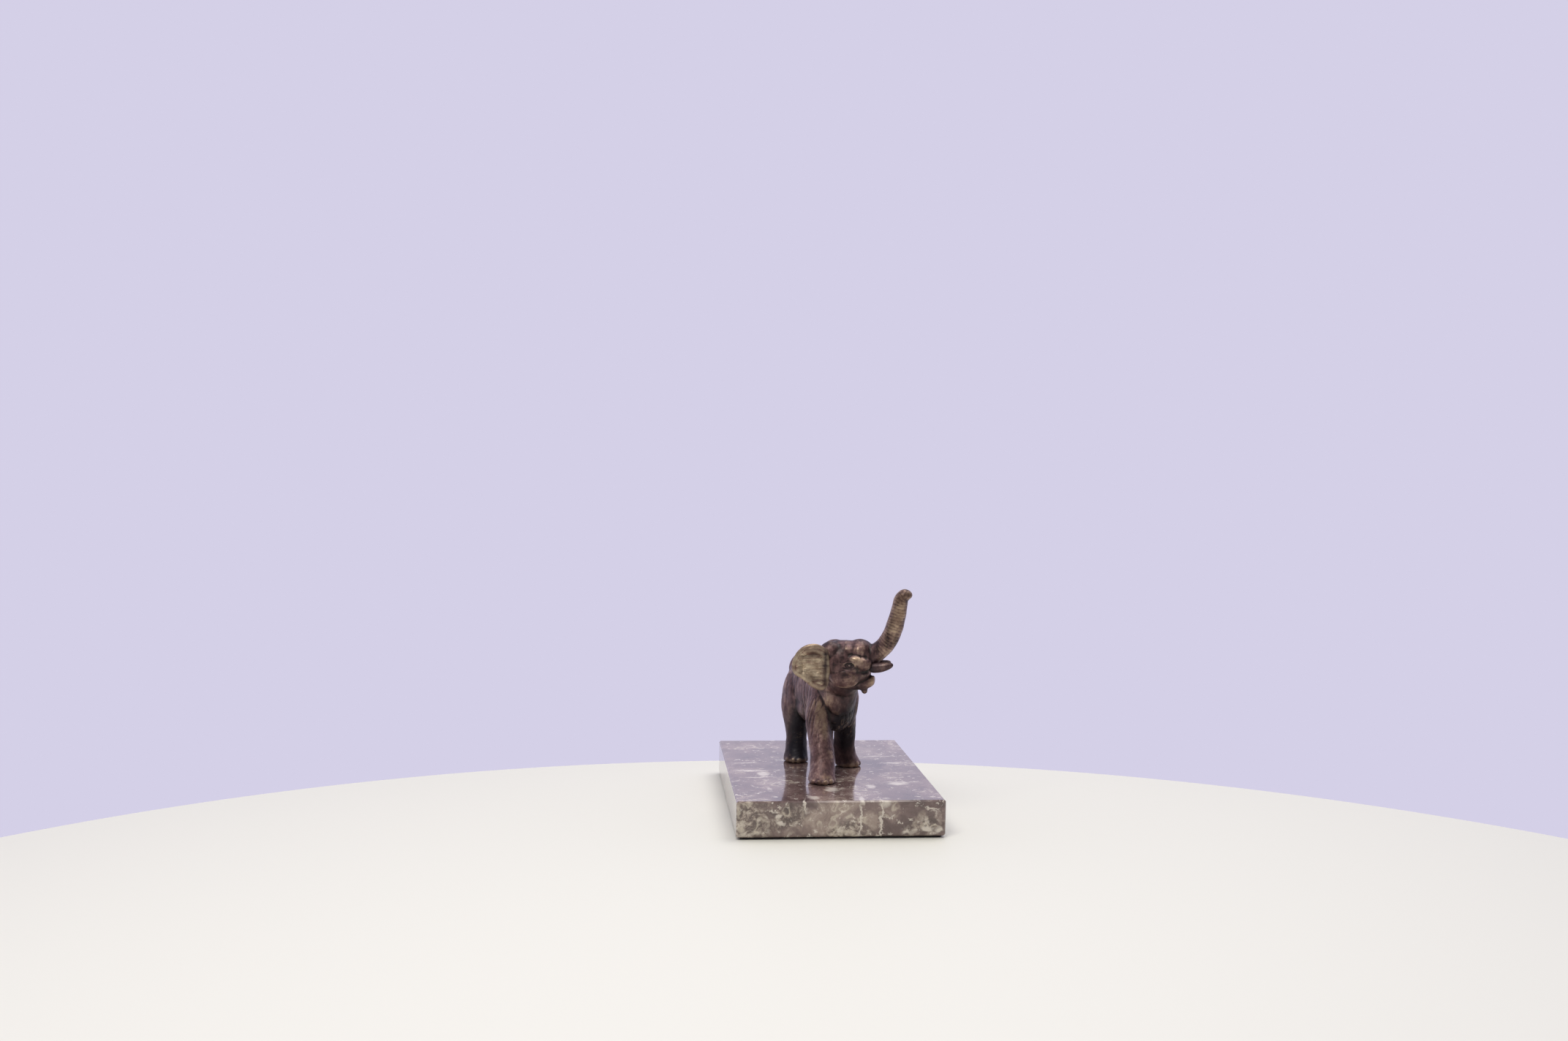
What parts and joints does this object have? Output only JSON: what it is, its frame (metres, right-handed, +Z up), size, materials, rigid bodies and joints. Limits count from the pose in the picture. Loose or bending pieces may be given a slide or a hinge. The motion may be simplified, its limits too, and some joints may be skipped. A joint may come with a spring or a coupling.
{
  "type": "still bank",
  "caption": "Still bank cast as a striding elephant with raised trunk, in two hollow screwed halves with a coin slot in the back and a hinged belly trap, on a polished stone base.",
  "frame": {"origin": "centre of the underside of the pad under the base", "axes": "+Z up, the animal's chest and trunk end towards -Y, the base's length along Y"},
  "size_m": [0.11, 0.155, 0.1277],
  "materials": {
    "felt": "dark dense wool felt",
    "polished_stone": "polished brown and grey marble with pale veins",
    "bronzed_iron": "cast iron with a dark brown bronzed and waxed finish",
    "rubbed_bronze": "bronzed cast iron rubbed back to a greenish brass colour",
    "screw_steel": "plain turned steel",
    "sheet_brass": "dulled sheet brass"
  },
  "bodies": {
    "casting": {"base_pad": "felt", "stone_base": "polished_stone", "foot_screws": "screw_steel", "foot_washers": "screw_steel", "body_right_half": "bronzed_iron", "body_left_half": "bronzed_iron", "seam_screws": "screw_steel", "seam_nuts": "screw_steel", "seam_dowels": "screw_steel", "head": "bronzed_iron", "right_ear": "rubbed_bronze", "left_ear": "rubbed_bronze", "right_tusk": "bronzed_iron", "left_tusk": "bronzed_iron", "tail": "bronzed_iron", "trap_pin": "screw_steel", "trap_clip": "sheet_brass"},
    "trap": {"trap_door": "sheet_brass"}
  },
  "joints": [
    {"name": "trap_hinge", "type": "hinge", "parent": "casting", "child": "trap", "pos_m": [-0.0043, 0.03286, 0.04476], "axis": [0.9848, 0.1736, 0], "range_deg": [0, 45]}
  ]
}
